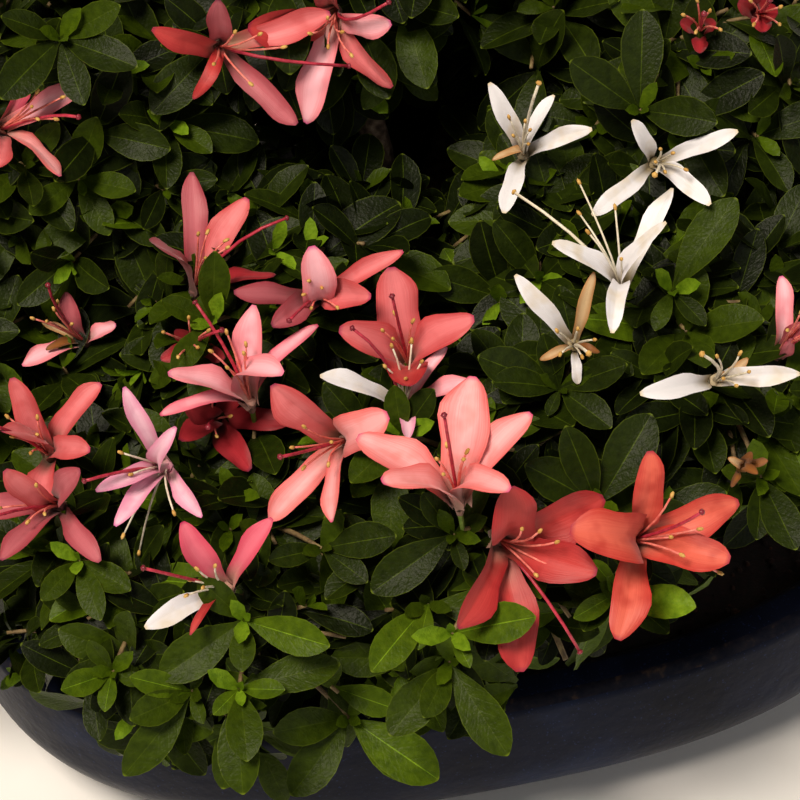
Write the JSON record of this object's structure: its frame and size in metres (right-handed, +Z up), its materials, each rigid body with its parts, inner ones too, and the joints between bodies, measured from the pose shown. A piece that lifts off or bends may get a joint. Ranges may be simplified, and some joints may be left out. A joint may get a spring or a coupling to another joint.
{
  "type": "potted azalea shrub",
  "caption": "Low spreading azalea shrub in narrow-petalled bloom, growing in a shallow rounded-oval glazed pot filled with soil.",
  "frame": {"origin": "centre of the pot's flat underside", "axes": "+X along the pot's long side, -Y towards the front where the foliage hangs over the rim, +Z up"},
  "size_m": [0.4319, 0.3515, 0.3056],
  "materials": {
    "glazed_pot": "glossy dark blue glaze on stoneware",
    "soil": "moist granular potting soil",
    "bark": "thin flaking grey-brown bark",
    "foliage": "leathery dark green leaves with paler young growth"
  },
  "bodies": {
    "root": {"pot": "glazed_pot", "soil": "soil", "trunk": "bark", "bough_front_left": "bark", "bough_front_middle": "bark", "bough_front_right": "bark", "bough_right": "bark", "bough_back_right": "bark", "bough_back_middle": "bark", "bough_back_left": "bark", "bough_left": "bark", "bough_inner_left": "bark", "bough_inner_right": "bark", "bough_upper_left": "bark", "bough_upper_right": "bark", "bough_upper_back": "bark", "bough_apex": "bark", "foliage_front_left": "foliage", "foliage_front_middle": "foliage", "foliage_front_right": "foliage", "foliage_right": "foliage", "foliage_back_right": "foliage", "foliage_back_middle": "foliage", "foliage_back_left": "foliage", "foliage_left": "foliage", "foliage_inner_left": "foliage", "foliage_inner_right": "foliage", "foliage_upper_left": "foliage", "foliage_upper_right": "foliage", "foliage_upper_back": "foliage", "foliage_apex": "foliage"}
  },
  "joints": []
}
